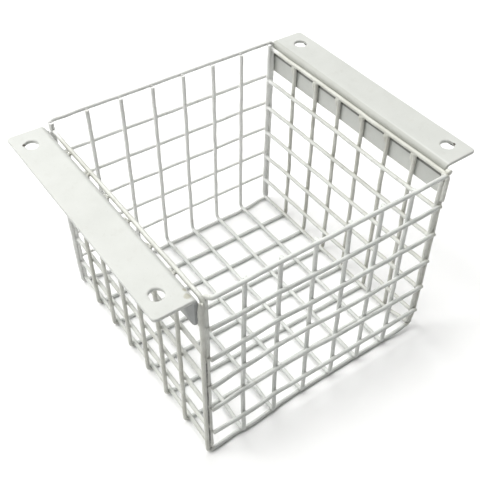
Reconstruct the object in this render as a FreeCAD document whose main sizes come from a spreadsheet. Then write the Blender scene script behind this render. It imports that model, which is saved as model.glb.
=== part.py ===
import FreeCAD, Part
import math
import os
import Sketcher
from FreeCAD import Placement, Rotation, Vector

# Welded wire basket hung from two mounting angles.
#
# Frame: +X right, +Y back, +Z up, in millimetres.  The origin is the middle of the floor,
# at the level of the lowest wires, so the basket stands on z = 0.
#
# The mesh is two layers of U-shaped wires.  The cross wires run left to right under the floor
# and stand up as the side walls' uprights.  The long wires lie on top of them, run front to
# back and stand up as the uprights of the front and back walls.  Straight rails close the
# walls: the side rails lie inside the side uprights, and the front and back rails lie outside
# the front and back uprights.  In each corner the outermost long wire and the outermost cross
# wire stand side by side as a double post, so both swerve outward near the ends of the floor.
# A rim wire tops each wall, and an angle with two bolt holes is welded outside each side wall.

SIZES = {
    # mesh
    "pitch": 25.4,              # from one wire to the next
    "wire": 3.0,                # coated diameter
    "seat": 0.02,               # hairline between two wires that are welded together
    "bend": 3.5,                # centreline radius of every fold
    "floor_edge": 88.9,         # outermost wires of the floor, from the middle
    "side_post": 92.3,          # side walls' uprights, from the middle
    "front_post": 91.6,         # front and back walls' uprights, from the middle
    "swerve_start": 68.0,       # where the outermost wires leave the straight floor line
    "swerve_end": 84.0,         # where they reach the line of the corner posts
    "swerve_bend": 9.0,         # centreline radius of the swerve's two bends
    # heights
    "front_rail_low": 26.4,     # lowest rail of the front and back walls
    "side_rail_low": 23.8,      # lowest rail of the side walls
    "side_top": 150.0,          # tops of the side walls' uprights
    "left_rim": 150.3,          # centre of the left rim
    "front_rim": 154.5,         # centre of the front rim
    "back_rim": 156.5,          # centre of the back rim
    "front_stub_low": 133.0,    # lower end of the front and left rims' turned-down ends
    "back_stub_low": 142.0,     # lower end of the back rim's turned-down ends
    "hook_start": 79.0,         # where the front rim's left end starts to bend back
    "hook_end": 87.0,           # where it lies over the corner post
    # mounting angles
    "angle_length": 184.0,
    "angle_flange": 27.0,
    "angle_web": 24.0,
    "angle_plate": 2.5,
    "angle_inner_bend": 3.0,
    "angle_top": 156.0,
    "flange_corner": 3.0,       # rounding of the flange's two outer corners
    "web_corner": 5.0,          # rounding of the web's two lower corners
    "hole_width": 9.0,
    "hole_line": 110.0,         # hole centres, from the middle of the basket
    "hole_pitch": 154.0,        # from one hole to the other along an angle
}
MESH_CELLS = 7
RAILS_PER_WALL = 5


class Size:
    """A length in millimetres, with the sheet formula that gives it."""

    def __init__(self, value, formula):
        self.value = value
        self.formula = formula

    def __add__(self, other):
        other = as_size(other)
        return Size(self.value + other.value, f"({self.formula} + {other.formula})")

    def __sub__(self, other):
        other = as_size(other)
        return Size(self.value - other.value, f"({self.formula} - {other.formula})")

    def __mul__(self, factor):
        return Size(self.value * factor, f"({self.formula} * {factor})")

    def __truediv__(self, factor):
        return Size(self.value / factor, f"({self.formula} / {factor})")

    def __neg__(self):
        return self * -1


def as_size(number):
    """Give a plain number the same form as a sheet value."""
    if isinstance(number, Size):
        return number
    return Size(float(number), str(float(number)))


def fill_sheet():
    """Write the driving dimensions to the sheet and return them by name."""
    sheet = doc.addObject("Spreadsheet::Sheet", "Dimensions")
    named = {}
    for row, (name, value) in enumerate(SIZES.items(), start=1):
        sheet.set(f"A{row}", name)
        sheet.set(f"B{row}", str(value))
        sheet.setAlias(f"B{row}", name)
        named[name] = Size(value, f"Dimensions.{name}")
    doc.recompute()
    return named


doc = FreeCAD.newDocument("WireMeshContainer")
size = fill_sheet()
pieces = []

# ---------------------------------------------------------------------------------------------
# Derived places
# ---------------------------------------------------------------------------------------------

WIRE_RADIUS = size["wire"] / 2
LAYER = size["wire"] + size["seat"]             # centre to centre of two touching wires
TOUCH = WIRE_RADIUS + size["seat"]              # from a wire's centre to a face beside it

CROSS_LEVEL = WIRE_RADIUS                       # floor level of the cross wires
LONG_LEVEL = CROSS_LEVEL + LAYER                # floor level of the long wires
SIDE_RAIL = size["side_post"] - LAYER           # side rails, inside the side uprights
FRONT_RAIL = size["front_post"] + LAYER         # front and back rails, outside the uprights
BEHIND_POST = size["front_post"] - LAYER        # inside of the front corner post
POST_END = size["front_post"] - TOUCH           # where side rails butt on the corner posts
RAIL_END = SIDE_RAIL + WIRE_RADIUS              # ends of the front and back walls' rails

FOLD = size["bend"].value
SWERVE = size["swerve_bend"].value
OUTERMOST_BENDS = [FOLD, SWERVE, SWERVE, SWERVE, SWERVE, FOLD]


def mesh_line(index):
    """Distance of a mesh wire from the middle of the floor, for index 0 to 7."""
    return size["pitch"] * (index - MESH_CELLS / 2)


# ---------------------------------------------------------------------------------------------
# Building blocks
# ---------------------------------------------------------------------------------------------

def place(item, x=0.0, y=0.0, z=0.0, rotation=None):
    """Set an object's placement and bind the coordinates that come from the sheet."""
    spots = {"x": as_size(x), "y": as_size(y), "z": as_size(z)}
    base = Vector(spots["x"].value, spots["y"].value, spots["z"].value)
    item.Placement = Placement(base, rotation or Rotation())
    for axis, spot in spots.items():
        item.setExpression(f"Placement.Base.{axis}", spot.formula)


def origin_plane(body, role):
    """One of the body's own origin planes."""
    return next(item for item in body.Origin.OriginFeatures if item.Role == role)


def add_sketch(body, name, role):
    """A sketch on one of the body's origin planes."""
    sketch = body.newObject("Sketcher::SketchObject", name)
    sketch.AttachmentSupport = (origin_plane(body, role), [""])
    sketch.MapMode = "FlatFace"
    return sketch


def bind(sketch, constraint, name, length):
    """Name a sketch constraint and bind it to the sheet."""
    sketch.renameConstraint(constraint, name)
    sketch.setExpression(f"Constraints.{name}", length.formula)


def add_position(sketch, geometry, point, axis, name, coordinate):
    """Fix one coordinate of a sketch point, measured from the sketch's origin."""
    kind = {"x": "DistanceX", "y": "DistanceY"}[axis]
    rule = Sketcher.Constraint(kind, -1, 1, geometry, point, coordinate.value)
    bind(sketch, sketch.addConstraint(rule), name, coordinate)


def corner_arc(before, corner, after, radius):
    """The arc that rounds a square corner, with its two tangent points."""
    incoming = (before - corner).normalize()
    outgoing = (after - corner).normalize()
    start = corner + incoming * radius
    end = corner + outgoing * radius
    centre = corner + (incoming + outgoing) * radius
    middle = centre + (corner - centre).normalize() * radius
    # A sketch wants its arcs anticlockwise, whichever way the path runs.
    turns_left = (corner - before).cross(after - corner).z > 0
    arc = Part.Arc(start, middle, end) if turns_left else Part.Arc(end, middle, start)
    return start, arc, end


def is_upright(sketch, line):
    """Whether a sketch line runs up and down rather than level."""
    run = sketch.Geometry[line]
    return abs(run.StartPoint.x - run.EndPoint.x) < abs(run.StartPoint.y - run.EndPoint.y)


def arc_end_at(sketch, arc, point):
    """Which end of a sketch arc, 1 or 2, lies at a point."""
    return 1 if sketch.Geometry[arc].StartPoint.distanceToPoint(point) < 1e-4 else 2


def draw_path(sketch, corners):
    """Draw a path of upright and level runs, rounded with the wire's bend at every turn.

    corners is a list of (x, y) pairs of Size in the sketch's plane.
    """
    points = [Vector(x.value, y.value, 0) for x, y in corners]
    radius = size["bend"].value
    arcs = [corner_arc(*points[k - 1:k + 2], radius) for k in range(1, len(points) - 1)]
    starts = [points[0]] + [arc[2] for arc in arcs]
    ends = [arc[0] for arc in arcs] + [points[-1]]
    lines = []
    for run, (start, end) in enumerate(zip(starts, ends)):
        line = sketch.addGeometry(Part.LineSegment(start, end))
        upright = is_upright(sketch, line)
        sketch.addConstraint(Sketcher.Constraint("Vertical" if upright else "Horizontal", line))
        across = "x" if upright else "y"
        coordinate = corners[run][0 if upright else 1]
        add_position(sketch, line, 1, across, f"run_{run}", coordinate)
        lines.append(line)
    for turn, (start, arc, end) in enumerate(arcs):
        bent = sketch.addGeometry(arc)
        joints = ((lines[turn], 2, start), (lines[turn + 1], 1, end))
        for line, point, joint in joints:
            arc_end = arc_end_at(sketch, bent, joint)
            sketch.addConstraint(Sketcher.Constraint("Tangent", line, point, bent, arc_end))
        rule = sketch.addConstraint(Sketcher.Constraint("Radius", bent, radius))
        bind(sketch, rule, f"bend_{turn}", size["bend"])
    for name, line, point, spot in (
        ("start", lines[0], 1, corners[0]),
        ("end", lines[-1], 2, corners[-1]),
    ):
        along = "y" if is_upright(sketch, line) else "x"
        add_position(sketch, line, point, along, name, spot[0 if along == "x" else 1])


def bent_wire(label, role, corners, x=0.0, y=0.0):
    """A wire bent in one plane: an XZ_Plane or YZ_Plane path that starts with an upright run."""
    body = doc.addObject("PartDesign::Body", label)
    path = add_sketch(body, f"{label}_path", role)
    draw_path(path, corners)

    section = add_sketch(body, f"{label}_section", "XY_Plane")
    across, top = corners[0]
    section.AttachmentOffset = Placement(Vector(0, 0, top.value), Rotation())
    section.setExpression("AttachmentOffset.Base.z", top.formula)
    in_x, in_y = (across, as_size(0)) if role == "XZ_Plane" else (as_size(0), across)
    centre = Vector(in_x.value, in_y.value, 0)
    circle = section.addGeometry(Part.Circle(centre, Vector(0, 0, 1), WIRE_RADIUS.value))
    add_position(section, circle, 3, "x", "centre_x", in_x)
    add_position(section, circle, 3, "y", "centre_y", in_y)
    rule = section.addConstraint(Sketcher.Constraint("Diameter", circle, size["wire"].value))
    bind(section, rule, "thickness", size["wire"])

    pipe = body.newObject("PartDesign::AdditivePipe", f"{label}_pipe")
    pipe.Profile = section
    pipe.Spine = (path, [])
    place(body, x=x, y=y)
    pieces.append(body)


def straight_wire(label, direction, start, end, across, level):
    """A straight wire along X or Y, from start to end, at a distance across and a level."""
    rod = doc.addObject("Part::Cylinder", label)
    rod.setExpression("Radius", WIRE_RADIUS.formula)
    rod.setExpression("Height", (end - start).formula)
    if direction == "x":
        place(rod, start, across, level, Rotation(Vector(0, 1, 0), 90))
    else:
        place(rod, across, start, level, Rotation(Vector(1, 0, 0), -90))
    pieces.append(rod)


def rounded_path(points, radii):
    """A wire of straight runs joined by tangent arcs, with one radius for each inner point."""
    edges = []
    start = points[0]
    for k, radius in enumerate(radii, start=1):
        incoming = (points[k - 1] - points[k]).normalize()
        outgoing = (points[k + 1] - points[k]).normalize()
        half_angle = incoming.getAngle(outgoing) / 2
        reach = radius / math.tan(half_angle)
        first = points[k] + incoming * reach
        last = points[k] + outgoing * reach
        bisector = (incoming + outgoing).normalize()
        middle = points[k] + bisector * (radius / math.sin(half_angle) - radius)
        edges.append(Part.makeLine(start, first))
        edges.append(Part.Arc(first, middle, last).toShape())
        start = last
    edges.append(Part.makeLine(start, points[-1]))
    return Part.Wire(edges)


def spatial_wire(label, points, radii):
    """A wire whose bends don't lie in one plane."""
    path = rounded_path(points, radii)
    circle = Part.Circle(points[0], points[1] - points[0], WIRE_RADIUS.value)
    rod = doc.addObject("Part::Feature", label)
    rod.Shape = path.makePipeShell([Part.Wire([circle.toShape()])], True, False)
    rod.Placement = Placement()
    pieces.append(rod)


# ---------------------------------------------------------------------------------------------
# Mesh
# ---------------------------------------------------------------------------------------------

def add_cross_wires():
    """Eight wires along X: side uprights and the lower layer of the floor."""
    for index in range(1, MESH_CELLS):
        corners = [
            (-size["side_post"], size["side_top"]),
            (-size["side_post"], CROSS_LEVEL),
            (size["side_post"], CROSS_LEVEL),
            (size["side_post"], size["side_top"]),
        ]
        bent_wire(f"cross_wire_{index + 1}", "XZ_Plane", corners, y=mesh_line(index))
    for label, side in (("cross_wire_1", -1), (f"cross_wire_{MESH_CELLS + 1}", 1)):
        level = CROSS_LEVEL.value
        floor_y = side * size["floor_edge"].value
        post_y = side * size["front_post"].value
        half = [
            Vector(size["side_post"].value, post_y, size["side_top"].value),
            Vector(size["side_post"].value, post_y, level),
            Vector(size["swerve_end"].value, post_y, level),
            Vector(size["swerve_start"].value, floor_y, level),
        ]
        other_half = [Vector(-point.x, point.y, point.z) for point in reversed(half)]
        spatial_wire(label, half + other_half, OUTERMOST_BENDS)


def add_long_wires():
    """Eight wires along Y: front and back uprights and the upper layer of the floor."""
    for index in range(1, MESH_CELLS):
        corners = [
            (-size["front_post"], size["front_rim"]),
            (-size["front_post"], LONG_LEVEL),
            (size["front_post"], LONG_LEVEL),
            (size["front_post"], size["back_rim"]),
        ]
        bent_wire(f"long_wire_{index + 1}", "YZ_Plane", corners, x=mesh_line(index))
    # The front rim's left end lies on top of the corner post below it.
    under_hook = size["front_rim"] - TOUCH
    outermost = (
        ("long_wire_1", -1, under_hook.value),
        (f"long_wire_{MESH_CELLS + 1}", 1, size["front_rim"].value),
    )
    for label, side, front_top in outermost:
        level = LONG_LEVEL.value
        post_x = side * SIDE_RAIL.value
        floor_x = side * size["floor_edge"].value
        post_y = size["front_post"].value
        swerve_end, swerve_start = size["swerve_end"].value, size["swerve_start"].value
        points = [
            Vector(post_x, -post_y, front_top),
            Vector(post_x, -post_y, level),
            Vector(post_x, -swerve_end, level),
            Vector(floor_x, -swerve_start, level),
            Vector(floor_x, swerve_start, level),
            Vector(post_x, swerve_end, level),
            Vector(post_x, post_y, level),
            Vector(post_x, post_y, size["back_rim"].value),
        ]
        spatial_wire(label, points, OUTERMOST_BENDS)


def add_rails():
    """Five straight rails in each wall."""
    for index in range(RAILS_PER_WALL):
        number = index + 1
        front_level = size["front_rail_low"] + size["pitch"] * index
        side_level = size["side_rail_low"] + size["pitch"] * index
        straight_wire(
            f"front_rail_{number}", "x", -SIDE_RAIL, RAIL_END, -FRONT_RAIL, front_level
        )
        straight_wire(
            f"back_rail_{number}", "x", -RAIL_END, RAIL_END, FRONT_RAIL, front_level
        )
        straight_wire(
            f"left_rail_{number}", "y", -POST_END, POST_END, -SIDE_RAIL, side_level
        )
        straight_wire(
            f"right_rail_{number}", "y", -POST_END, POST_END, SIDE_RAIL, side_level
        )


def add_rims():
    """The four rim wires, with the ends that turn down along the corner posts."""
    # The front rim turns down at the right, and at the left bends back over the corner post.
    post_x, rail_y = size["side_post"].value, FRONT_RAIL.value
    rim_level = size["front_rim"].value
    hook_y = size["front_post"].value
    front_points = [
        Vector(post_x, -rail_y, size["front_stub_low"].value),
        Vector(post_x, -rail_y, rim_level),
        Vector(-size["hook_start"].value, -rail_y, rim_level),
        Vector(-size["hook_end"].value, -hook_y, rim_level),
        Vector(-RAIL_END.value, -hook_y, rim_level),
    ]
    spatial_wire("front_rim", front_points, [FOLD, SWERVE, SWERVE])

    back_corners = [
        (-size["side_post"], size["back_stub_low"]),
        (-size["side_post"], size["back_rim"]),
        (size["side_post"], size["back_rim"]),
        (size["side_post"], size["back_stub_low"]),
    ]
    bent_wire("back_rim", "XZ_Plane", back_corners, y=FRONT_RAIL)

    # The left rim's front end turns down inside the corner post.
    left_corners = [
        (-BEHIND_POST, size["front_stub_low"]),
        (-BEHIND_POST, size["left_rim"]),
        (POST_END, size["left_rim"]),
    ]
    bent_wire("left_rim", "YZ_Plane", left_corners, x=-SIDE_RAIL)

    # The right rim lies on the tops of its wall's uprights, between the two corner bends.
    rim_end = FRONT_RAIL - TOUCH
    right_level = size["side_top"] + TOUCH
    straight_wire("right_rim", "y", -rim_end, rim_end, size["side_post"], right_level)


# ---------------------------------------------------------------------------------------------
# Mounting angles
# ---------------------------------------------------------------------------------------------

def draw_angle_section(sketch, side, inner_face):
    """The L of a mounting angle: web beside the basket, flange outward along the top."""
    top = size["angle_top"]
    plate = size["angle_plate"]
    outer_edge = inner_face + size["angle_flange"]
    under = top - plate
    foot = top - size["angle_web"]
    corners = [
        (inner_face, foot),
        (inner_face + plate, foot),
        (inner_face + plate, under),
        (outer_edge, under),
        (outer_edge, top),
        (inner_face, top),
    ]
    points = [Vector(side * x.value, z.value, 0) for x, z in corners]
    lines = []
    for start, end in zip(points, points[1:] + points[:1]):
        lines.append(sketch.addGeometry(Part.LineSegment(start, end)))
    for line, following in zip(lines, lines[1:] + lines[:1]):
        sketch.addConstraint(Sketcher.Constraint("Coincident", line, 2, following, 1))
    for number, (line, (x, z)) in enumerate(zip(lines, corners)):
        upright = number % 2 == 1
        sketch.addConstraint(Sketcher.Constraint("Vertical" if upright else "Horizontal", line))
        if upright:
            add_position(sketch, line, 1, "x", f"edge_{number}", x * side)
        else:
            add_position(sketch, line, 1, "y", f"edge_{number}", z)


def edges_where(shape, test):
    """Names of the straight edges whose two end points pass a test."""
    names = []
    for number, edge in enumerate(shape.Edges, start=1):
        if len(edge.Vertexes) == 2 and test(*(vertex.Point for vertex in edge.Vertexes)):
            names.append(f"Edge{number}")
    return names


def add_fillet(body, name, radius, test):
    """Round the straight edges of the body's last feature that pass a test."""
    doc.recompute()
    base = body.Tip
    fillet = body.newObject("PartDesign::Fillet", name)
    fillet.Base = (base, edges_where(base.Shape, test))
    fillet.Radius = radius.value
    fillet.setExpression("Radius", radius.formula)
    doc.recompute()


def mounting_angle(label, side):
    """An angle welded outside one side wall, its flange drilled for two bolts."""
    body = doc.addObject("PartDesign::Body", label)
    inner_face = size["side_post"] + TOUCH
    plate = size["angle_plate"]
    half_length = (size["angle_length"] / 2).value
    outer_x = (inner_face + size["angle_flange"]).value
    top_z = size["angle_top"].value
    foot_z = (size["angle_top"] - size["angle_web"]).value

    section = add_sketch(body, f"{label}_section", "XZ_Plane")
    draw_angle_section(section, side, inner_face)
    pad = body.newObject("PartDesign::Pad", f"{label}_pad")
    pad.Profile = section
    pad.SideType = "Symmetric"
    pad.Length = size["angle_length"].value
    pad.setExpression("Length", size["angle_length"].formula)

    def near(value, target):
        return abs(value - target) < 1e-3

    def at_x(a, b, x):
        return near(abs(a.x), x) and near(abs(b.x), x)

    def at_z(a, b, z):
        return near(a.z, z) and near(b.z, z)

    inner_x = inner_face.value
    under_z = top_z - plate.value
    add_fillet(body, f"{label}_inner_bend", size["angle_inner_bend"],
               lambda a, b: at_x(a, b, inner_x + plate.value) and at_z(a, b, under_z))
    add_fillet(body, f"{label}_outer_bend", size["angle_inner_bend"] + plate,
               lambda a, b: at_x(a, b, inner_x) and at_z(a, b, top_z))
    add_fillet(body, f"{label}_flange_corners", size["flange_corner"],
               lambda a, b: at_x(a, b, outer_x) and near(abs(a.y), half_length)
               and near(a.y, b.y))
    add_fillet(body, f"{label}_web_corners", size["web_corner"],
               lambda a, b: at_z(a, b, foot_z) and near(abs(a.y), half_length)
               and near(a.y, b.y))

    solid_volume = body.Shape.Volume
    holes = add_sketch(body, f"{label}_holes", "XY_Plane")
    for name, way in (("front", -1), ("back", 1)):
        hole_x = size["hole_line"] * side
        hole_y = size["hole_pitch"] * (way / 2)
        centre = Vector(hole_x.value, hole_y.value, 0)
        width = size["hole_width"]
        circle = holes.addGeometry(Part.Circle(centre, Vector(0, 0, 1), width.value / 2))
        add_position(holes, circle, 3, "x", f"{name}_x", hole_x)
        add_position(holes, circle, 3, "y", f"{name}_y", hole_y)
        rule = holes.addConstraint(Sketcher.Constraint("Diameter", circle, width.value))
        bind(holes, rule, f"{name}_width", width)
    pocket = body.newObject("PartDesign::Pocket", f"{label}_bolt_holes")
    pocket.Profile = holes
    pocket.Type = "ThroughAll"
    pocket.Reversed = True
    doc.recompute()
    drilled = 2 * math.pi * (size["hole_width"].value / 2) ** 2 * plate.value
    if abs(solid_volume - body.Shape.Volume - drilled) > 0.01 * drilled:
        raise RuntimeError(f"{label}: the bolt holes don't go through the flange")
    place(body)
    pieces.append(body)


# ---------------------------------------------------------------------------------------------
# The basket
# ---------------------------------------------------------------------------------------------

add_cross_wires()
add_long_wires()
add_rails()
add_rims()
mounting_angle("left_bracket", -1)
mounting_angle("right_bracket", 1)
doc.recompute()

for item in doc.Objects:
    if "Invalid" in item.State or "Error" in item.State:
        raise RuntimeError(f"{item.Label} failed: {item.State}")
for piece in pieces:
    if piece.Shape.isNull() or not piece.Shape.isValid() or len(piece.Shape.Solids) != 1:
        raise RuntimeError(f"{piece.Label} isn't one valid solid")

os.makedirs("parts", exist_ok=True)
for piece in pieces:
    piece.Shape.exportStep(f"parts/{piece.Label}.step")
print(f"{len(pieces)} pieces written")
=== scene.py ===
import math

import bmesh
import bpy
import numpy as np
from mathutils import Matrix, Vector, geometry, noise


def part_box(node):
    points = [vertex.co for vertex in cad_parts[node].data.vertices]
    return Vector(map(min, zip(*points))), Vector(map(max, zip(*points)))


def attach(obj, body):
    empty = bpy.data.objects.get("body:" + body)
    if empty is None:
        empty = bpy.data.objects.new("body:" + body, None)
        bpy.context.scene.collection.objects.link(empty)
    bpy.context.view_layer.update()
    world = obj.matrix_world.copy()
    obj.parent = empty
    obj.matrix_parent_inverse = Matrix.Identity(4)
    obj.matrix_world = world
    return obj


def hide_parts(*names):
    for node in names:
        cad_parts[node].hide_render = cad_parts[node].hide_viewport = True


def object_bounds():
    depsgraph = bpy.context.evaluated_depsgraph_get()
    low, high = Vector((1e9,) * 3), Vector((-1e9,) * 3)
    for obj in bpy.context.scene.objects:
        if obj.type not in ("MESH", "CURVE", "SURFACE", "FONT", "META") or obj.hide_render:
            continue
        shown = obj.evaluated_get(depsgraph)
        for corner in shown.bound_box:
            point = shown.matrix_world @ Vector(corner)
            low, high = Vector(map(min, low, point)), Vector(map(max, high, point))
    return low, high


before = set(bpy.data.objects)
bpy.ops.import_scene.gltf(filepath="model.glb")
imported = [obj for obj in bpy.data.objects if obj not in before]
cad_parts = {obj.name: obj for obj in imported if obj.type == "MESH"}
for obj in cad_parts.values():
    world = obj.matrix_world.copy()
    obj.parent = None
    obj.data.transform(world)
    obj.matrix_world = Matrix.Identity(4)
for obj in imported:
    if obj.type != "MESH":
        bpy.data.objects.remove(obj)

# A welded wire basket with two mounting angles.  Every wire is rebuilt as a coated tube along
# the line of its CAD node, the angles as folded plates, and the welds and the coating that
# pools in them are added as trim.  Metres, in the CAD's own frame.

bpy.context.view_layer.update()
CAD_LOW, CAD_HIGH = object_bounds()
noise.seed_set(7)

MM = 0.001
WIRE_RADIUS = 1.5 * MM
LAYER = 3.02 * MM                   # centre to centre of two touching wires
FOLD_RADIUS = 3.5 * MM              # centreline radius of every fold
FLOOR_EDGE = 88.9 * MM              # outermost wires of the floor, from the middle
SWERVE_START = 68.0 * MM            # where the outermost wires leave the straight floor line
SWERVE_END = 84.0 * MM              # where they reach the line of the corner posts
SWERVE_RADIUS = 9.0 * MM
HOOK_START = 87.0 * MM              # where the front rim's left end starts to bend back
HOOK_END = 89.5 * MM                # where it lies over the corner post
HOOK_RADIUS = 2.0 * MM
MESH_WIRES = 8
PITCH = 25.4 * MM
RAILS = 5

TUBE_SIDES = 20
RING_STEP = 3.0 * MM                # between a tube's rings on a straight run
END_ROUNDING = 0.5 * MM             # coating rounds a wire's cut ends
COAT_UNEVENNESS = 0.035             # of a wire's thickness, as a share of it
COAT_WAVES = 230                    # per metre


def centre_of(node):
    """The middle of a CAD node's box."""
    low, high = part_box(node)
    return (low + high) / 2


FRONT_RIM_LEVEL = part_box("front_rim")[1].z - WIRE_RADIUS
BACK_RIM_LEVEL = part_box("back_rim")[1].z - WIRE_RADIUS
LEFT_RIM_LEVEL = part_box("left_rim")[1].z - WIRE_RADIUS
RIGHT_RIM_LEVEL = centre_of("right_rim").z
SIDE_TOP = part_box("cross_wire_2")[1].z
CROSS_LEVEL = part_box("cross_wire_2")[0].z + WIRE_RADIUS
LONG_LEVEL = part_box("long_wire_2")[0].z + WIRE_RADIUS
SIDE_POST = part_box("cross_wire_2")[1].x - WIRE_RADIUS
FRONT_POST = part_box("long_wire_2")[1].y - WIRE_RADIUS
SIDE_RAIL = SIDE_POST - LAYER
FRONT_RAIL = FRONT_POST + LAYER
FRONT_LEG = SIDE_POST - 2.2 * MM    # of the front rim, where it turns down at the right
BACK_LEGS = (-SIDE_RAIL, SIDE_POST + 1.2 * MM)     # of the back rim
BACK_FOLD = 2.6 * MM
FRONT_STUB_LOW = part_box("front_rim")[0].z
LEFT_STUB_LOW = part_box("left_rim")[0].z
BACK_STUB_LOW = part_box("back_rim")[0].z
MESH_LINES = [centre_of(f"long_wire_{k}").x for k in range(2, MESH_WIRES)]

TRIM_STEP = 0.8 * MM
TRIM_SIDES = 16
WELD_REACH = 1.3 * MM               # of the coating round a weld, from its middle
WELD_RINGS = 5
WELD_SINK = 0.1 * MM
LUMP_SIZE = 0.12 * MM


# ---------------------------------------------------------------------------------------------
# Paths
# ---------------------------------------------------------------------------------------------

def rounded_path(corners, radii):
    """Points along straight runs joined by arcs, about RING_STEP apart on the runs."""
    corners = [np.array(c, float) for c in corners]
    path = [corners[0]]
    for k, radius in enumerate(radii, start=1):
        incoming = corners[k - 1] - corners[k]
        outgoing = corners[k + 1] - corners[k]
        incoming /= np.linalg.norm(incoming)
        outgoing /= np.linalg.norm(outgoing)
        half_angle = math.acos(np.clip(incoming @ outgoing, -1, 1)) / 2
        reach = radius / math.tan(half_angle)
        bisector = (incoming + outgoing) / np.linalg.norm(incoming + outgoing)
        centre = corners[k] + bisector * radius / math.sin(half_angle)
        first = corners[k] + incoming * reach - centre
        last = corners[k] + outgoing * reach - centre
        turn = math.pi - 2 * half_angle
        steps = max(3, round(turn / math.radians(11)))
        for step in range(steps + 1):
            share = step / steps
            first_share = math.sin((1 - share) * turn) / math.sin(turn)
            last_share = math.sin(share * turn) / math.sin(turn)
            path.append(centre + first * first_share + last * last_share)
    path.append(corners[-1])
    return subdivided(path)


def subdivided(path):
    """Add points to the runs that are longer than RING_STEP."""
    points = [path[0]]
    for start, end in zip(path, path[1:]):
        pieces = max(1, round(np.linalg.norm(end - start) / RING_STEP))
        for piece in range(1, pieces + 1):
            points.append(start + (end - start) * piece / pieces)
    return np.array(points)


# ---------------------------------------------------------------------------------------------
# The basket's own irregularity
# ---------------------------------------------------------------------------------------------

LEAN_HEIGHT = 150 * MM
# How far the basket's corners stand from their nominal places, in millimetres, at the floor
# and at the rim: front left, front right, back left, back right.
LEAN_LOW = ((0.3, -0.5, 0.0), (0.0, -0.2, 0.0), (1.4, 0.4, 0.0), (-0.6, -0.3, 0.0))
LEAN_HIGH = ((-0.9, 0.5, -0.6), (0.6, 1.0, 0.4), (-2.2, 0.9, 1.0), (-1.0, -0.1, -0.3))
SAG_WAVES = ((70 * MM, 0.4 * MM), (26 * MM, 0.18 * MM))     # length and size of each wave
# Dents: where each is, how far it spreads and how far it shifts the wires, in millimetres.
DENTS = (
    ((-56, -91, 2), (26, 16, 20), (-1.4, -3.0, 0)),     # the front wall's foot, pushed out
    ((91, -91, 0), (14, 14, 15), (1.0, 2.2, 3.6)),      # the front right corner, pushed up
)
KINK_WAVE = 13 * MM                         # length and size of a single wire's own kinks
KINK_SIZE = 0.28 * MM
KINK_SHIFT = Vector((5.3, 2.9, 7.7))        # so that kinks and sags don't coincide


def settle(points):
    """Shift points by the slight unevenness of a hand-welded basket.

    It is one smooth field for the whole basket, so wires that touch still touch.
    """
    points = np.array(points, float)
    right = (points[:, 0] / SIDE_POST + 1) / 2
    back = (points[:, 1] / FRONT_POST + 1) / 2
    high = points[:, 2] / LEAN_HEIGHT
    shares = ((1 - right) * (1 - back), right * (1 - back), (1 - right) * back, right * back)
    shift = np.zeros_like(points)
    for share, low, top in zip(shares, np.array(LEAN_LOW) * MM, np.array(LEAN_HIGH) * MM):
        shift += share[:, None] * ((1 - high)[:, None] * low + high[:, None] * top)
    for length, size in SAG_WAVES:
        sag = np.array([noise.noise_vector(Vector(p) / length) for p in points]) * size
        sag[:, 2] *= np.clip(high * 6, 0, 1)
        shift += sag
    for centre, spread, size in DENTS:
        away = (points - np.array(centre) * MM) / (np.array(spread) * MM)
        shift += np.array(size) * MM * np.exp(-np.sum(away ** 2, axis=1))[:, None]
    return points + shift


# ---------------------------------------------------------------------------------------------
# Tubes and trim
# ---------------------------------------------------------------------------------------------

def path_frames(path):
    """The direction of a path at each point, and two directions square to it and each other."""
    along = np.gradient(path, axis=0)
    along /= np.linalg.norm(along, axis=1)[:, None]
    seed = np.array((1.0, 0, 0)) if abs(along[0][0]) < 0.9 else np.array((0, 1.0, 0))
    side = np.cross(along[0], seed)
    side /= np.linalg.norm(side)
    sides = []
    for direction in along:
        side = side - direction * (side @ direction)
        side /= np.linalg.norm(side)
        sides.append(side)
    sides = np.array(sides)
    return along, sides, np.cross(along, sides)


def tube_mesh(path, radii, sides=TUBE_SIDES):
    """Vertices and faces of a closed tube with one radius for each point of its path."""
    _, across, up = path_frames(path)
    angles = np.arange(sides) * 2 * math.pi / sides
    circle = (np.cos(angles)[None, :, None] * across[:, None, :]
              + np.sin(angles)[None, :, None] * up[:, None, :])
    rings = path[:, None, :] + circle * radii[:, None, None]
    vertices = [tuple(v) for v in rings.reshape(-1, 3)]
    faces = []
    for ring in range(len(path) - 1):
        for k in range(sides):
            a = ring * sides + k
            b = ring * sides + (k + 1) % sides
            faces.append((a, b, b + sides, a + sides))
    faces.append(tuple(reversed(range(sides))))
    faces.append(tuple(range((len(path) - 1) * sides, len(path) * sides)))
    return vertices, faces


def new_object(name, vertices, faces, material):
    """A smooth-shaded closed piece that rides on the basket."""
    mesh = bpy.data.meshes.new(name)
    mesh.from_pydata([tuple(v) for v in vertices], [], faces)
    sculpt = bmesh.new()
    sculpt.from_mesh(mesh)
    bmesh.ops.remove_doubles(sculpt, verts=sculpt.verts, dist=0.0002 * MM)
    bmesh.ops.recalc_face_normals(sculpt, faces=sculpt.faces)
    for face in sculpt.faces:
        face.smooth = True
    sculpt.to_mesh(mesh)
    sculpt.free()
    mesh.materials.append(material)
    piece = bpy.data.objects.new(name, mesh)
    bpy.context.scene.collection.objects.link(piece)
    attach(piece, "root")
    return piece


def wobbled(path):
    """Shift a wire's path by its own small kinks."""
    kinks = [noise.noise_vector(Vector(p) / KINK_WAVE + KINK_SHIFT) for p in path]
    return path + np.array([tuple(k) for k in kinks]) * KINK_SIZE


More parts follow.
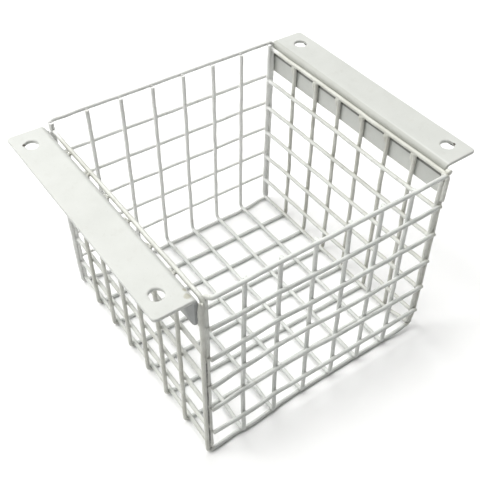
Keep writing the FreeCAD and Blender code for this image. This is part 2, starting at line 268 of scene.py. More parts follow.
def coated_wire(node, path):
    """A wire with its coating: rounded ends and a slightly uneven thickness."""
    start_direction = (path[1] - path[0]) / np.linalg.norm(path[1] - path[0])
    end_direction = (path[-1] - path[-2]) / np.linalg.norm(path[-1] - path[-2])
    end_steps = 4
    heads, tails, end_radii = [], [], []
    for step in range(end_steps):
        angle = math.pi / 2 * (step + 0.35) / (end_steps + 0.35)
        inset = END_ROUNDING * (1 - math.cos(angle))
        narrowing = END_ROUNDING * (1 - math.sin(angle))
        heads.append(path[0] + start_direction * inset)
        tails.append(path[-1] - end_direction * inset)
        end_radii.append(WIRE_RADIUS - narrowing)
    body = path[1:-1]
    full_path = np.array([path[0]] + heads + list(body) + tails[::-1] + [path[-1]])
    body_radii = [WIRE_RADIUS * (1 + COAT_UNEVENNESS * noise.noise(Vector(p) * COAT_WAVES))
                  for p in body]
    tip = WIRE_RADIUS - END_ROUNDING
    radii = np.array([tip] + end_radii + body_radii + end_radii[::-1] + [tip])
    vertices, faces = tube_mesh(settle(wobbled(full_path)), radii)
    piece = new_object(f"coated_{node}", vertices, faces, WIRE_PAINT)
    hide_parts(node)


class Trim:
    """Many small closed shapes, gathered into one piece."""

    def __init__(self):
        self.vertices = []
        self.faces = []

    def add(self, vertices, faces):
        start = len(self.vertices)
        self.vertices.extend(tuple(v) for v in vertices)
        self.faces.extend(tuple(start + k for k in face) for face in faces)

    def run(self, start, end, radii, roughness=0.1):
        """A round run whose radius follows the given ones from start to end, unevenly."""
        start, end = np.array(start, float), np.array(end, float)
        rings = max(8, round(np.linalg.norm(end - start) / TRIM_STEP))
        shares = np.linspace(0, 1, rings + 1)
        path = start + (end - start) * shares[:, None]
        sizes = np.interp(shares, np.linspace(0, 1, len(radii)), radii)
        sizes = sizes * [1 + roughness * noise.noise(Vector(p) * 400) for p in path]
        self.add(*tube_mesh(path, sizes, TRIM_SIDES))

    def ring(self, contact, lower, upper):
        """The coating in the notch round the point where two crossing wires touch.

        lower and upper are the wires' directions; the upper wire is on the side that the
        right-hand rule gives for them.
        """
        contact, lower, upper = np.array(contact), np.array(lower, float), np.array(upper, float)
        normal = np.cross(lower, upper)
        vertices = []
        for step in range(WELD_RINGS + 1):
            share = step / WELD_RINGS
            reach = WELD_REACH * (0.8 + 0.2 * (2 * share - 1) ** 2)
            for k in range(TRIM_SIDES):
                angle = 2 * math.pi * k / TRIM_SIDES
                sample = Vector(contact) * 900 + Vector((math.cos(angle), math.sin(angle), 0))
                swell = 1 + 0.16 * noise.noise(sample)
                u = reach * swell * math.cos(angle)
                v = reach * swell * math.sin(angle)
                bottom = math.sqrt(max(WIRE_RADIUS ** 2 - v ** 2, 0)) - WIRE_RADIUS - WELD_SINK
                top = WIRE_RADIUS - math.sqrt(max(WIRE_RADIUS ** 2 - u ** 2, 0)) + WELD_SINK
                height = bottom + (top - bottom) * share
                vertices.append(contact + lower * u + upper * v + normal * height)
        faces = []
        for step in range(WELD_RINGS):
            for k in range(TRIM_SIDES):
                a = step * TRIM_SIDES + k
                b = step * TRIM_SIDES + (k + 1) % TRIM_SIDES
                faces.append((a, b, b + TRIM_SIDES, a + TRIM_SIDES))
        faces.append(tuple(range(TRIM_SIDES)))
        faces.append(tuple(range(WELD_RINGS * TRIM_SIDES, (WELD_RINGS + 1) * TRIM_SIDES)))
        self.add(vertices, faces)

    def place(self, name, material, slot):
        lumpy = [np.array(v) + np.array(noise.noise_vector(Vector(v) * 600)) * LUMP_SIZE
                 for v in self.vertices]
        return new_object(name, settle(lumpy), self.faces, material)


# ---------------------------------------------------------------------------------------------
# Materials
# ---------------------------------------------------------------------------------------------

class Graph:
    """A short way to write a material's node graph."""

    def __init__(self, name):
        self.material = bpy.data.materials.new(name)
        self.material.use_nodes = True
        self.nodes = self.material.node_tree.nodes
        self.links = self.material.node_tree.links
        self.shader = self.nodes["Principled BSDF"]
        self.place = self.nodes.new("ShaderNodeTexCoord").outputs["Object"]

    def put(self, node, socket, value):
        """Link an output to an input, or set the input's value."""
        if isinstance(value, bpy.types.NodeSocket):
            self.links.new(value, node.inputs[socket])
        else:
            node.inputs[socket].default_value = value

    def noise(self, scale, detail=3.0, roughness=0.5):
        node = self.nodes.new("ShaderNodeTexNoise")
        self.put(node, "Vector", self.place)
        self.put(node, "Scale", scale)
        self.put(node, "Detail", detail)
        self.put(node, "Roughness", roughness)
        return node.outputs["Fac"]

    def ramp(self, value, *stops):
        """A colour ramp; each stop is (position, colour)."""
        node = self.nodes.new("ShaderNodeValToRGB")
        self.put(node, "Fac", value)
        elements = node.color_ramp.elements
        for k, (position, colour) in enumerate(stops):
            element = elements[k] if k < 2 else elements.new(position)
            element.position = position
            element.color = (*colour, 1)
        return node.outputs["Color"]

    def spread(self, value, low, high, to_low=0.0, to_high=1.0):
        """Map a range of a value to another range, clamped."""
        node = self.nodes.new("ShaderNodeMapRange")
        for socket, number in (("Value", value), ("From Min", low), ("From Max", high),
                               ("To Min", to_low), ("To Max", to_high)):
            self.put(node, socket, number)
        return node.outputs["Result"]

    def mix(self, share, first, second, blend="MIX"):
        node = self.nodes.new("ShaderNodeMix")
        node.data_type = "RGBA"
        node.blend_type = blend
        self.put(node, "Factor", share)
        for socket, colour in ((6, first), (7, second)):
            self.put(node, socket, (*colour, 1) if isinstance(colour, tuple) else colour)
        return node.outputs[2]

    def bump(self, height, distance, strength=1.0, normal=None):
        node = self.nodes.new("ShaderNodeBump")
        self.put(node, "Height", height)
        self.put(node, "Distance", distance)
        self.put(node, "Strength", strength)
        if normal is not None:
            self.put(node, "Normal", normal)
        return node.outputs["Normal"]

    def near(self, spot, inner, outer):
        """1 within the inner distance of a place on the basket, 0 beyond the outer one."""
        node = self.nodes.new("ShaderNodeVectorMath")
        node.operation = "DISTANCE"
        self.put(node, 0, self.place)
        self.put(node, 1, spot)
        return self.spread(node.outputs["Value"], inner, outer, 1.0, 0.0)

    def compute(self, operation, first, second):
        node = self.nodes.new("ShaderNodeMath")
        node.operation = operation
        self.put(node, 0, first)
        self.put(node, 1, second)
        return node.outputs["Value"]

    def product(self, first, second):
        return self.compute("MULTIPLY", first, second)

    def axis(self, name):
        """One coordinate of the place on the basket."""
        node = self.nodes.new("ShaderNodeSeparateXYZ")
        self.put(node, "Vector", self.place)
        return node.outputs[name]


PAINT_LIGHT = (0.645, 0.66, 0.635)
PAINT_DULL = (0.54, 0.555, 0.535)
# Paler coat colour: painted light on the back wall's wires.
BACK_WALL_PAINTED_LIGHT = (0.77, 0.775, 0.755)
# Warmer coat colours: painted warm light from the left on the side walls.
WARM_LIT_PALE = (0.60, 0.605, 0.56)
WARM_LIT_DULL = (0.49, 0.49, 0.44)
FLANGE_LIGHT = (0.53, 0.54, 0.515)
FLANGE_DULL = (0.505, 0.515, 0.49)
# Multiplied into the right angle's bend as painted shade.
BEND_SHADE = (0.76, 0.76, 0.735)
# Painted shade for the left web's front end, under the flange.
WEB_END_SHADE = (0.20, 0.21, 0.205)
STAIN = (0.30, 0.28, 0.19)
DUST = (0.34, 0.32, 0.27)
GRIME = (0.20, 0.175, 0.14)
# Painted shadow: the dark strip the right rim casts on the web.
RIM_SHADOW_DARK = (0.10, 0.10, 0.09)
BARE_STEEL = (0.07, 0.06, 0.05)

RIM_SLOPE = 0.0038                  # how much the right rim drops per length towards the back
RIM_SHADOW_LOW = 145.9 * MM               # where the painted shadow under the right rim starts, at mid-length
RIM_SHADOW_HIGH = 150.0 * MM
# Spots on the angles, each with its place in metres and its size.
STAINS = (((-0.0983, -0.0867, 0.1560), 3.0 * MM), ((-0.0968, -0.0818, 0.1560), 2.2 * MM))
CHIPS = (((-0.1162, 0.0802, 0.1573), 2.2 * MM), ((0.1139, -0.0744, 0.1567), 2.2 * MM))
WEB_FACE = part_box("right_bracket")[0].x
ANGLE_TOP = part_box("right_bracket")[1].z
HALF_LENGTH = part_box("right_bracket")[1].y
# Where the painted shade on the left web's front end is centred.
WEB_SHADE_SPOT = (-WEB_FACE - 2.5 * MM, -HALF_LENGTH, 142 * MM)
HOLE_X = 110 * MM
HOLE_Y = 77 * MM
HOLE_RADIUS = 4.5 * MM


def satin_paint(g, colour, dirt):
    """Satin powder coat over a cloudy colour: dust specks and a fine orange-peel skin."""
    smudges = g.spread(g.noise(190.0, detail=3.0, roughness=0.65), 0.56, 0.74, 0.0, dirt)
    colour = g.mix(smudges, colour, DUST)
    specks = g.spread(g.noise(950.0, detail=1.0), 0.74, 0.78, 0.0, 2 * dirt)
    colour = g.mix(specks, colour, GRIME)
    g.put(g.shader, "Roughness", g.spread(g.noise(160.0), 0.3, 0.7, 0.36, 0.52))
    peel = g.bump(g.noise(1100.0, detail=2.0), 0.00004, 0.5)
    waves = g.bump(g.noise(240.0, detail=1.0), 0.00012, 0.5, normal=peel)
    g.put(g.shader, "Normal", waves)
    return colour


def wire_paint():
    """The wires' coat, with painted warm light on the side walls and painted light that makes the
    back wall's wires whitest.
    """
    g = Graph("wire_paint")
    clouds = g.noise(42.0, detail=4.0, roughness=0.6)
    fresh = g.ramp(clouds, (0.36, PAINT_DULL), (0.62, PAINT_LIGHT))
    # Painted warm light from the left: the side walls' wires take a warmer, creamier colour.
    warm_lit = g.ramp(clouds, (0.36, WARM_LIT_DULL), (0.62, WARM_LIT_PALE))
    left = g.spread(g.axis("X"), -93 * MM, -86 * MM, 1.0, 0.0)
    right = g.spread(g.axis("X"), 86 * MM, 90 * MM)
    colour = g.mix(g.compute("ADD", left, right), fresh, warm_lit)
    # Painted light: the back wall's wires are made paler, as if more brightly lit.
    back = g.spread(g.axis("Y"), 78 * MM, 90 * MM)
    colour = g.mix(back, colour, BACK_WALL_PAINTED_LIGHT)
    colour = satin_paint(g, colour, 0.3)
    g.put(g.shader, "Base Color", colour)
    return g.material


def bracket_paint():
    """The angles' coat, with two chips at bolt holes, a few stains, and painted shade: a dark
    shadow under the right rim, a darker band along the bend and a shaded web end.
    """
    g = Graph("bracket_paint")
    clouds = g.noise(42.0, detail=4.0, roughness=0.6)
    colour = g.ramp(clouds, (0.36, FLANGE_DULL), (0.62, FLANGE_LIGHT))
    colour = satin_paint(g, colour, 0.12)
    ragged = g.noise(420.0, detail=3.0, roughness=0.6)
    for spot, size in CHIPS:
        chip = g.spread(g.product(g.near(spot, 0.4 * size, size), ragged), 0.2, 0.3)
        colour = g.mix(chip, colour, BARE_STEEL)
    # Painted shadow of the right rim, cast in a strip along the web.
    level = g.compute("ADD", g.axis("Z"), g.product(g.axis("Y"), RIM_SLOPE))
    below = g.spread(level, RIM_SHADOW_LOW, RIM_SHADOW_LOW + 0.5 * MM)
    above = g.spread(level, RIM_SHADOW_HIGH, RIM_SHADOW_HIGH + 1.5 * MM, 1.0, 0.0)
    inside = g.spread(g.axis("X"), WEB_FACE + 0.6 * MM, WEB_FACE + 1.0 * MM, 0.85, 0.0)
    on_right = g.spread(g.axis("X"), 0.0, 1 * MM)
    line = g.product(g.product(below, above), inside)
    colour = g.mix(g.product(line, on_right), colour, RIM_SHADOW_DARK)
    # Painted shade: a darker band along the right angle's bend.
    start = g.spread(g.axis("X"), WEB_FACE + 2.4 * MM, WEB_FACE + 3.2 * MM, 1.0, 0.0)
    band = g.spread(g.axis("Z"), ANGLE_TOP - 4.5 * MM, ANGLE_TOP - 3.5 * MM)
    band = g.product(g.product(start, band), on_right)
    colour = g.mix(band, colour, BEND_SHADE, "MULTIPLY")
    # Painted shade on the left web's front end under the flange, and two stains beside it.
    web_shade = g.near(WEB_SHADE_SPOT, 9 * MM, 24 * MM)
    under_flange = g.spread(g.axis("Z"), ANGLE_TOP - 2.6 * MM, ANGLE_TOP - 1.6 * MM, 1.0, 0.0)
    colour = g.mix(g.product(web_shade, under_flange), colour, WEB_END_SHADE)
    for spot, size in STAINS:
        patch = g.product(g.near(spot, 0.2 * size, size), ragged)
        patch = g.spread(patch, 0.1, 0.3, 0.0, 0.6)
        colour = g.mix(patch, colour, STAIN)
    g.put(g.shader, "Base Color", colour)
    return g.material


def groove_shade():
    """A dark colour for painted shade in a narrow groove."""
    g = Graph("groove_shade")
    # Slightly mottled dark colours for the painted groove shade.
    mottle = g.noise(300.0, detail=3.0)
    colour = g.ramp(mottle, (0.35, (0.16, 0.16, 0.15)), (0.65, (0.26, 0.26, 0.25)))
    g.put(g.shader, "Base Color", colour)
    g.put(g.shader, "Roughness", 0.8)
    g.put(g.shader, "Normal", g.bump(g.noise(900.0), 0.0001, 0.6))
    return g.material


WIRE_PAINT = wire_paint()
BRACKET_PAINT = bracket_paint()
GROOVE_SHADE = groove_shade()


# ---------------------------------------------------------------------------------------------
# Wires
# ---------------------------------------------------------------------------------------------

def build_mesh_wires():
    """The sixteen wires that make the floor and the walls' uprights."""
    for index in range(1, MESH_WIRES + 1):
        node = f"cross_wire_{index}"
        y = centre_of(node).y
        corners = [(-SIDE_POST, y, SIDE_TOP), (-SIDE_POST, y, CROSS_LEVEL),
                   (SIDE_POST, y, CROSS_LEVEL), (SIDE_POST, y, SIDE_TOP)]
        radii = [FOLD_RADIUS] * 2
        if index in (1, MESH_WIRES):
            side = -1 if index == 1 else 1
            post = side * FRONT_POST
            corners = [(-SIDE_POST, post, SIDE_TOP), (-SIDE_POST, post, CROSS_LEVEL),
                       (-SWERVE_END, post, CROSS_LEVEL),
                       (-SWERVE_START, side * FLOOR_EDGE, CROSS_LEVEL),
                       (SWERVE_START, side * FLOOR_EDGE, CROSS_LEVEL),
                       (SWERVE_END, post, CROSS_LEVEL),
                       (SIDE_POST, post, CROSS_LEVEL), (SIDE_POST, post, SIDE_TOP)]
            radii = [FOLD_RADIUS] + [SWERVE_RADIUS] * 4 + [FOLD_RADIUS]
        coated_wire(node, rounded_path(corners, radii))

        node = f"long_wire_{index}"
        x = centre_of(node).x
        front_top, back_top = FRONT_RIM_LEVEL, BACK_RIM_LEVEL
        corners = [(x, -FRONT_POST, front_top), (x, -FRONT_POST, LONG_LEVEL),
                   (x, FRONT_POST, LONG_LEVEL), (x, FRONT_POST, back_top)]
        radii = [FOLD_RADIUS] * 2
        if index in (1, MESH_WIRES):
            side = -1 if index == 1 else 1
            post = side * SIDE_RAIL
            if index == 1:
                front_top = FRONT_RIM_LEVEL - LAYER / 2
            corners = [(post, -FRONT_POST, front_top), (post, -FRONT_POST, LONG_LEVEL),
                       (post, -SWERVE_END, LONG_LEVEL),
                       (side * FLOOR_EDGE, -SWERVE_START, LONG_LEVEL),
                       (side * FLOOR_EDGE, SWERVE_START, LONG_LEVEL),
                       (post, SWERVE_END, LONG_LEVEL),
                       (post, FRONT_POST, LONG_LEVEL), (post, FRONT_POST, back_top)]
            radii = [FOLD_RADIUS] + [SWERVE_RADIUS] * 4 + [FOLD_RADIUS]
        coated_wire(node, rounded_path(corners, radii))


def straight_path(node, axis):
    """The centreline of a straight wire's CAD node."""
    low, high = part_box(node)
    middle = (low + high) / 2
    start, end = middle.copy(), middle.copy()
    start[axis], end[axis] = low[axis], high[axis]
    return subdivided([np.array(start), np.array(end)])


# How much higher than straight each front rail stands at the left post and at the next three
# uprights, in millimetres, from the lowest rail up.
FRONT_RAIL_BENDS = (
    (-2.3, -1.6, 0.4, 0.0),
    (-1.8, 0.2, 1.7, 2.0),
    (-3.0, -0.5, 1.3, 1.5),
    (-0.9, -0.3, 1.7, 0.0),
    (1.6, 0.9, 1.0, 0.4),
)


def rail_bend(index, x):
    """How much higher than straight a front rail is at a place along it."""
    bends = np.array((*FRONT_RAIL_BENDS[index - 1], 0.0)) * MM
    place = np.clip((x + SIDE_RAIL) / PITCH, 0, len(bends) - 1.001)
    first = int(place)
    share = (1 - math.cos(math.pi * (place - first))) / 2
    return bends[first] + (bends[first + 1] - bends[first]) * share


def build_rails():
    """Five rails in each wall."""
    for wall, axis in (("front", 0), ("back", 0), ("left", 1), ("right", 1)):
        for index in range(1, RAILS + 1):
            node = f"{wall}_rail_{index}"
            path = straight_path(node, axis)
            if wall == "front":
                path[:, 2] += [rail_bend(index, x) for x in path[:, 0]]
            coated_wire(node, path)


def build_rims():
    """The rim wires, with their turned-down ends."""
    corners = [(FRONT_LEG, -FRONT_RAIL, FRONT_STUB_LOW),
               (FRONT_LEG, -FRONT_RAIL, FRONT_RIM_LEVEL),
               (-HOOK_START, -FRONT_RAIL, FRONT_RIM_LEVEL),
               (-HOOK_END, -FRONT_POST, FRONT_RIM_LEVEL),
               (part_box("front_rim")[0].x, -FRONT_POST, FRONT_RIM_LEVEL)]
    radii = [FOLD_RADIUS, HOOK_RADIUS, HOOK_RADIUS]
    coated_wire("front_rim", rounded_path(corners, radii))
    left_leg, right_leg = BACK_LEGS
    corners = [(left_leg, FRONT_RAIL, BACK_STUB_LOW), (left_leg, FRONT_RAIL, BACK_RIM_LEVEL),
               (right_leg, FRONT_RAIL, BACK_RIM_LEVEL), (right_leg, FRONT_RAIL, BACK_STUB_LOW)]
    coated_wire("back_rim", rounded_path(corners, [BACK_FOLD] * 2))
    leg_y = LAYER - FRONT_POST
    corners = [(-SIDE_RAIL, leg_y, LEFT_STUB_LOW), (-SIDE_RAIL, leg_y, LEFT_RIM_LEVEL),
               (-SIDE_RAIL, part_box("left_rim")[1].y, LEFT_RIM_LEVEL)]
    coated_wire("left_rim", rounded_path(corners, [FOLD_RADIUS]))
    coated_wire("right_rim", straight_path("right_rim", 1))


# ---------------------------------------------------------------------------------------------
# Mounting angles
# ---------------------------------------------------------------------------------------------

PLATE_HALF = 1.25 * MM
PLATE_EDGE = 0.85 * MM              # rounding of the plate's edges under its coat
BEND_INSET = 3.8 * MM               # from the plate's outer faces to the centre of its bend
BEND_MIDDLE = BEND_INSET - PLATE_HALF
FLANGE_CORNER = 3.0 * MM
WEB_CORNER = 5.0 * MM
FLANGE_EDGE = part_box("right_bracket")[1].x
WEB_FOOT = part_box("right_bracket")[0].z
FLANGE_RUN = FLANGE_EDGE - WEB_FACE - BEND_INSET
BEND_RUN = BEND_MIDDLE * math.pi / 2
UNFOLDED = FLANGE_RUN + BEND_RUN + ANGLE_TOP - BEND_INSET - WEB_FOOT
HOLE_SIDES = 48
EDGE_STEPS = 4
# How far each angle stands from its nominal place beside the basket.
LEFT_OFFSET = np.array((-0.1, 0.0, 0.3)) * MM
RIGHT_OFFSET = np.array((0.1, 3.5, 0.3)) * MM


def plate_lines():
    """Where the unfolded plate's grid runs, across it and along it."""
    across = np.concatenate([
        np.linspace(FLANGE_CORNER, FLANGE_RUN, 6),
        np.linspace(FLANGE_RUN, FLANGE_RUN + BEND_RUN, 11)[1:],
        np.linspace(FLANGE_RUN + BEND_RUN, UNFOLDED - WEB_CORNER, 6)[1:],
    ])
    along = np.linspace(WEB_CORNER - HALF_LENGTH, HALF_LENGTH - WEB_CORNER, 47)
    return across, along


def plate_outline(across, along):
    """Points round the unfolded plate, and the outward direction at each."""
    points, outward = [], []

    def side(run, direction):
        for point in run:
            points.append(point)
            outward.append(direction)

    def corner(centre, radius, start):
        for step in range(7):
            angle = start + math.pi / 2 * step / 6
            direction = (math.cos(angle), math.sin(angle))
            points.append((centre[0] + radius * direction[0], centre[1] + radius * direction[1]))
            outward.append(direction)

    web_end = UNFOLDED - WEB_CORNER
    web_side = HALF_LENGTH - WEB_CORNER
    flange_side = HALF_LENGTH - FLANGE_CORNER
    side([(u, -HALF_LENGTH) for u in across[1:-1]], (0, -1))
    corner((web_end, -web_side), WEB_CORNER, -math.pi / 2)
    side([(UNFOLDED, v) for v in along[1:-1]], (1, 0))
    corner((web_end, web_side), WEB_CORNER, 0)
    side([(u, HALF_LENGTH) for u in across[-2:0:-1]], (0, 1))
    corner((FLANGE_CORNER, flange_side), FLANGE_CORNER, math.pi / 2)
    side([(0, v) for v in along[::-1]], (-1, 0))
    corner((FLANGE_CORNER, -flange_side), FLANGE_CORNER, math.pi)
    return np.array(points), np.array(outward)


def hole_rim(centre):
    """Points round a bolt hole, and the direction from the plate into the hole at each."""
    angles = np.arange(HOLE_SIDES) * 2 * math.pi / HOLE_SIDES
    circle = np.stack([np.cos(angles), np.sin(angles)], axis=1)
    return np.array(centre) + circle * HOLE_RADIUS, -circle


def plate_sheet(rims, holes, across, along):
    """The unfolded plate's flat face inside its rounded edges: points and triangles."""
    loops = [points - outward * PLATE_EDGE for points, outward in rims]
    coords, edges = [], []
    for loop in loops:
        first = len(coords)
        coords.extend(Vector(p) for p in loop)
        edges.extend((first + k, first + (k + 1) % len(loop)) for k in range(len(loop)))
    for centre in holes:
        for reach in (1.5 * MM, 3.2 * MM):
            for k in range(HOLE_SIDES // 2):
                angle = 4 * math.pi * k / HOLE_SIDES
                spoke = Vector((math.cos(angle), math.sin(angle))) * (HOLE_RADIUS + reach)
                coords.append(Vector(centre) + spoke)
    for u in across:
        for v in along:
            clear = all((Vector((u, v)) - Vector(c)).length > HOLE_RADIUS + 4.6 * MM for c in holes)
            if clear:
                coords.append(Vector((u, v)))
    points, _, triangles, _, _, _ = geometry.delaunay_2d_cdt(coords, edges, [], 0, 1e-9)
    points = np.array([tuple(p) for p in points])
    kept = []
    for triangle in triangles:
        middle = points[list(triangle)].mean(axis=0)
        if all(np.linalg.norm(middle - np.array(c)) > HOLE_RADIUS for c in holes):
            kept.append(tuple(triangle))
    return points, kept


def fold_plate(across, along, out, side):
    """Carry points of the unfolded plate to the angle on one side of the basket."""
    turn = np.clip((across - FLANGE_RUN) / BEND_MIDDLE, 0, math.pi / 2)
    below = np.maximum(across - FLANGE_RUN - BEND_RUN, 0)
    beyond = np.maximum(FLANGE_RUN - across, 0)
    reach = BEND_MIDDLE + out
    x = WEB_FACE + BEND_INSET + beyond - reach * np.sin(turn)
    z = ANGLE_TOP - BEND_INSET + reach * np.cos(turn) - below
    return np.stack([side * x, along, z], axis=1)


def build_bracket(node, side, offset):
    """A mounting angle as a folded plate with rounded edges and two holes."""
    across, along = plate_lines()
    holes = [(FLANGE_EDGE - HOLE_X, end * HOLE_Y) for end in (-1, 1)]
    rims = [plate_outline(across, along)] + [hole_rim(centre) for centre in holes]
    sheet, triangles = plate_sheet(rims, holes, across, along)
    flat, faces = [], []
    for level in (PLATE_HALF, -PLATE_HALF):
        start = len(flat)
        flat.extend((u, v, level) for u, v in sheet)
        faces.extend(tuple(start + k for k in triangle) for triangle in triangles)
    for points, outward in rims:
        start, count = len(flat), len(points)
        for half in (1, -1):
            for step in range(EDGE_STEPS + 1):
                angle = math.pi / 2 * (EDGE_STEPS - step if half == 1 else step) / EDGE_STEPS
                ring = points - outward * PLATE_EDGE * (1 - math.cos(angle))
                level = half * (PLATE_HALF - PLATE_EDGE * (1 - math.sin(angle)))
                flat.extend((u, v, level) for u, v in ring)
        for ring in range(2 * EDGE_STEPS + 1):
            for k in range(count):
                a = start + ring * count + k
                b = start + ring * count + (k + 1) % count
                faces.append((a, b, b + count, a + count))
    flat = np.array(flat)
    vertices = settle(fold_plate(flat[:, 0], flat[:, 1], flat[:, 2], side)) + offset
    piece = new_object(f"folded_{node}", vertices, faces, BRACKET_PAINT)
    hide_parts(node)
    weigh_normals(piece)


def weigh_normals(piece):
    """Keep the plate's flat faces flat to the eye and its rounded edges smooth."""
    piece.modifiers.new("weighted", "WEIGHTED_NORMAL").keep_sharp = True
    bpy.context.view_layer.update()
    evaluated = piece.evaluated_get(bpy.context.evaluated_depsgraph_get())
    mesh = bpy.data.meshes.new_from_object(evaluated)
    piece.modifiers.clear()
    piece.data = mesh


# ---------------------------------------------------------------------------------------------
# Welds, and the coating that pools in them
# ---------------------------------------------------------------------------------------------

EAST, NORTH, UP = (1, 0, 0), (0, 1, 0), (0, 0, 1)
WEST, SOUTH = (-1, 0, 0), (0, -1, 0)


def rail_levels(wall):
    return [centre_of(f"{wall}_rail_{k}").z for k in range(1, RAILS + 1)]


def build_floor_welds():
    trim = Trim()
    level = (CROSS_LEVEL + LONG_LEVEL) / 2
    lines = [-FLOOR_EDGE] + MESH_LINES + [FLOOR_EDGE]
    for x in lines:
        for y in lines:
            if abs(x) < FLOOR_EDGE or abs(y) < FLOOR_EDGE:
                trim.ring((x, y, level), EAST, NORTH)
    trim.place("floor_welds", WIRE_PAINT, "wire_coating")


def build_end_welds(wall, side, rim_level, rim_x):
    """The welds of the front or back wall, where rails cross outside the uprights."""
    trim = Trim()
    y = side * (FRONT_POST + LAYER / 2)
    uprights = [-SIDE_RAIL] + MESH_LINES + [SIDE_RAIL]
    for index, level in enumerate(rail_levels(wall), start=1):
        for x in uprights:
            if wall == "back":
                trim.ring((x, y, level), UP, WEST)
            else:
                trim.ring((x, y, level + rail_bend(index, x)), UP, EAST)
    for x in rim_x:
        trim.ring((x, y, rim_level - 0.7 * MM), UP, WEST if side == 1 else EAST)
    trim.place(f"{wall}_welds", WIRE_PAINT, "wire_coating")


def build_side_welds(wall, side):
    """The welds of a side wall, where rails cross inside the uprights and butt on the posts."""
    trim = Trim()
    x = side * (SIDE_POST - LAYER / 2)
    for level in rail_levels(wall):
        for y in MESH_LINES:
            trim.ring((x, y, level), UP, SOUTH if side == 1 else NORTH)
        for end in (-1, 1):
            post = (side * SIDE_RAIL, end * (FRONT_POST - 0.6 * MM), level)
            rail = (side * SIDE_RAIL, end * (FRONT_POST - 3.4 * MM), level)
            trim.run(post, rail, (1.9 * MM, 1.85 * MM, 1.7 * MM, 1.56 * MM, 1.45 * MM))
    trim.place(f"{wall}_welds", WIRE_PAINT, "wire_coating")


def build_rim_welds():
    """Where the side rims meet the tops of their walls' uprights, and the other rims."""
    trim = Trim()
    for y in MESH_LINES:
        trim.ring((-SIDE_POST + LAYER / 2, y, LEFT_RIM_LEVEL - 0.8 * MM), UP, NORTH)
        top = (SIDE_POST, y, RIGHT_RIM_LEVEL - 0.4 * MM)
        low = (SIDE_POST, y, SIDE_TOP - 2.2 * MM)
        trim.run(top, low, (1.95 * MM, 1.9 * MM, 1.75 * MM, 1.6 * MM, 1.42 * MM))
    for end, level in ((-1, FRONT_RIM_LEVEL), (1, RIGHT_RIM_LEVEL)):
        corner = (SIDE_POST, end * (FRONT_RAIL - 0.6 * MM), level)
        rim = (SIDE_POST, end * (FRONT_RAIL - 4.0 * MM), level)
        trim.run(corner, rim, (2.0 * MM, 2.0 * MM, 1.8 * MM, 1.6 * MM, 1.42 * MM))
    trim.place("rim_welds", WIRE_PAINT, "wire_coating")


def build_post_beads():
    """The beads along the double corner posts: full near the rim, thin lower down."""
    trim = Trim()
    middle = SIDE_POST - LAYER / 2
    for side in (-1, 1):
        for end in (-1, 1):
            x, y = side * middle, end * FRONT_POST
            trim.run((x, y, 6 * MM), (x, y, 108 * MM),
                     (0.2 * MM, 0.6 * MM, 0.35 * MM, 0.7 * MM, 0.3 * MM, 0.6 * MM, 0.5 * MM), 0.3)
            trim.run((x, y, 100 * MM), (x, y, SIDE_TOP - 0.3 * MM),
                     (0.4 * MM, 1.0 * MM, 1.2 * MM, 1.3 * MM, 1.3 * MM, 1.2 * MM, 0.6 * MM), 0.15)
    x, y = -SIDE_RAIL, LAYER / 2 - FRONT_POST
    trim.run((x, y, LEFT_STUB_LOW), (x, y, LEFT_RIM_LEVEL - 3 * MM),
             (0.8 * MM, 1.1 * MM, 1.2 * MM, 1.2 * MM, 0.8 * MM), 0.2)
    for x, end, low in ((FRONT_LEG, -1, FRONT_STUB_LOW), (BACK_LEGS[0], 1, BACK_STUB_LOW),
                        (BACK_LEGS[1], 1, BACK_STUB_LOW)):
        y = end * (FRONT_POST + LAYER / 2)
        trim.run((x, y, low + 0.5 * MM), (x, y, SIDE_TOP - 1 * MM),
                 (0.7 * MM, 1.1 * MM, 1.2 * MM, 1.1 * MM, 0.7 * MM), 0.2)
    trim.place("post_beads", WIRE_PAINT, "wire_coating")


def build_groove_shade():
    """Painted shade in the groove between the front left corner's two posts, laid as dark runs."""
    trim = Trim()
    x, y = LAYER / 2 + 0.1 * MM - SIDE_POST, -FRONT_POST - 0.8 * MM
    for low, high in ((10, 28), (31, 50), (53, 74), (78, 97)):
        trim.run((x, y, low * MM), (x, y, high * MM), (0.2 * MM, 0.6 * MM, 0.6 * MM, 0.2 * MM), 0.2)
    trim.place("post_groove_shade", GROOVE_SHADE, "wire_coating")


def build_bracket_welds():
    """The blobs that hold the angles' webs to the walls' uprights."""
    trim = Trim()
    for y in MESH_LINES:
        for side in (-1, 1):
            lean = 2.5 * MM
            top = (side * (SIDE_POST + 0.3 * MM), y + lean, SIDE_TOP + 0.2 * MM)
            low = (side * (SIDE_POST + 0.7 * MM), y + lean * 0.7, SIDE_TOP - 8.5 * MM)
            trim.run(top, low, (1.2 * MM, 1.8 * MM, 1.9 * MM, 1.6 * MM, 1.0 * MM, 0.3 * MM), 0.25)
    for side in (-1, 1):
        for end in (-1, 1):
            x = side * (SIDE_POST + 1.0 * MM)
            y, top = end * (FRONT_POST + 0.2 * MM), SIDE_TOP + 1.5 * MM
            if side == 1:
                y, top = y + 2.4 * MM, SIDE_TOP - 2 * MM
            trim.run((x, y, WEB_FOOT - 1 * MM), (x, y, top),
                     (0.6 * MM, 1.4 * MM, 1.7 * MM, 1.6 * MM, 1.7 * MM, 1.5 * MM, 0.8 * MM), 0.2)
    trim.place("bracket_welds", WIRE_PAINT, "wire_coating")


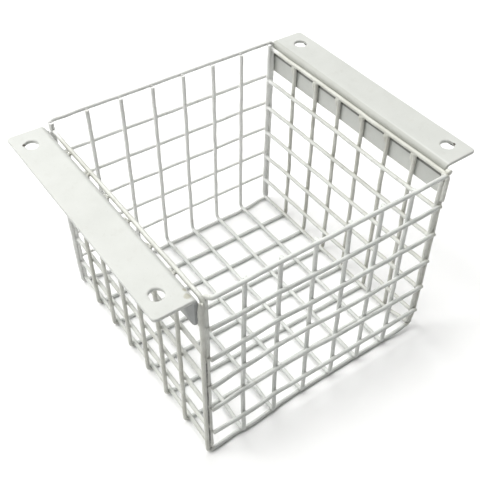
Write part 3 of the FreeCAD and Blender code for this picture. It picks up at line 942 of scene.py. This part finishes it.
build_mesh_wires()
build_rails()
build_rims()
build_bracket("left_bracket", -1, LEFT_OFFSET)
build_bracket("right_bracket", 1, RIGHT_OFFSET)
build_floor_welds()
ALL_UPRIGHTS = [-SIDE_RAIL] + MESH_LINES + [SIDE_RAIL]
build_end_welds("front", -1, FRONT_RIM_LEVEL, ALL_UPRIGHTS[1:])
build_end_welds("back", 1, BACK_RIM_LEVEL, ALL_UPRIGHTS)
build_side_welds("left", -1)
build_side_welds("right", 1)
build_rim_welds()
build_post_beads()
build_groove_shade()
build_bracket_welds()


# ---------------------------------------------------------------------------------------------
# Floor, light and camera
# ---------------------------------------------------------------------------------------------

def build_floor():
    """A plain pale floor."""
    size = 6.0
    corners = [(-size, -size, 0), (size, -size, 0), (size, size, 0), (-size, size, 0)]
    mesh = bpy.data.meshes.new("floor")
    mesh.from_pydata([(x, y, z - 0.2 * MM) for x, y, z in corners], [], [(0, 1, 2, 3)])
    g = Graph("floor_paper")
    grain = g.noise(9.0, detail=2.0)
    colour = g.ramp(grain, (0.3, (0.90, 0.90, 0.90)), (0.7, (0.92, 0.92, 0.92)))
    g.put(g.shader, "Base Color", colour)
    g.put(g.shader, "Roughness", 0.95)
    g.put(g.shader, "Specular IOR Level", 0.1)
    mesh.materials.append(g.material)
    floor = bpy.data.objects.new("floor", mesh)
    bpy.context.scene.collection.objects.link(floor)


def area_light(name, place, target, size, power, colour):
    """A soft square light at a place, aimed at a target."""
    data = bpy.data.lights.new(name, "AREA")
    data.shape = "SQUARE"
    data.size = size
    data.energy = power
    data.color = colour
    lamp = bpy.data.objects.new(name, data)
    lamp.location = place
    aim = Vector(target) - Vector(place)
    lamp.rotation_euler = aim.to_track_quat("-Z", "Y").to_euler()
    bpy.context.scene.collection.objects.link(lamp)


def build_light():
    """A broad soft light from above and behind, a small one from high on the left."""
    world = bpy.data.worlds.new("studio")
    bpy.context.scene.world = world
    world.use_nodes = True
    background = world.node_tree.nodes["Background"]
    background.inputs["Color"].default_value = (1, 1, 1, 1)
    background.inputs["Strength"].default_value = 0.05
    area_light("overhead", (-0.45, 1.0, 2.2), (0, 0, 0.1), 4.4, 172.0, (1.0, 1.0, 0.99))
    area_light("key", (-1.1, 0.5, 2.7), (0, 0, 0.08), 0.5, 14.0, (1.0, 1.0, 0.98))
    bpy.context.scene.view_settings.view_transform = "Standard"


CAMERA_AZIMUTH = math.radians(-35.6)
CAMERA_ELEVATION = math.radians(44.67)
CAMERA_ROLL = math.radians(0.84)
CAMERA_DISTANCE = 564.1 * MM
CAMERA_LENS = 59.17
AIM_OFFSET = Vector((-3.6, -1.8, -3.6)) * MM    # from the middle of the box


def build_camera():
    """The camera, aimed near the middle of the basket."""
    data = bpy.data.cameras.new("camera")
    data.sensor_width = 36.0
    data.lens = CAMERA_LENS
    data.clip_start, data.clip_end = 0.01, 50
    back = Vector((
        math.sin(CAMERA_AZIMUTH) * math.cos(CAMERA_ELEVATION),
        -math.cos(CAMERA_AZIMUTH) * math.cos(CAMERA_ELEVATION),
        math.sin(CAMERA_ELEVATION),
    ))
    camera = bpy.data.objects.new("camera", data)
    aim = (CAD_LOW + CAD_HIGH) / 2 + AIM_OFFSET
    camera.location = aim + back * CAMERA_DISTANCE
    turn = (-back).to_track_quat("-Z", "Y").to_matrix() @ Matrix.Rotation(CAMERA_ROLL, 3, "Z")
    camera.rotation_euler = turn.to_euler()
    bpy.context.scene.collection.objects.link(camera)
    bpy.context.scene.camera = camera


build_floor()
build_light()
build_camera()

bpy.context.view_layer.update()
